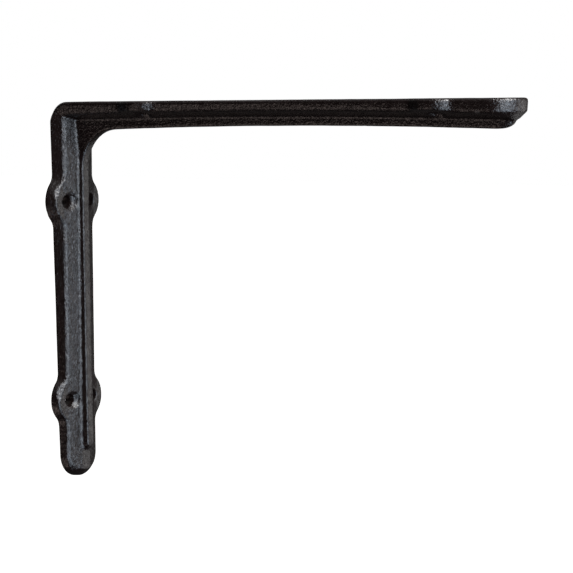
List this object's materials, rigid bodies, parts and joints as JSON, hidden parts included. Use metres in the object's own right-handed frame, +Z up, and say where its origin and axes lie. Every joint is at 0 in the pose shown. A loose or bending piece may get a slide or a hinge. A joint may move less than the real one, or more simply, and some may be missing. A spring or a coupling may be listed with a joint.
{
  "type": "shelf bracket",
  "caption": "Plain L-shaped cast iron shelf bracket: two flat straps with paired screw lugs and a rib that runs round the inside of the corner.",
  "frame": {"origin": "on the flat wall face, in the middle of the wall screw holes", "axes": "+X out from the wall along the shelf arm, +Y along the wall, +Z up"},
  "size_m": [0.203, 0.0298, 0.15],
  "materials": {
    "painted_iron": "satin black paint over grainy sand-cast iron"
  },
  "bodies": {
    "root": {"shelf_bracket": "painted_iron"}
  },
  "joints": []
}
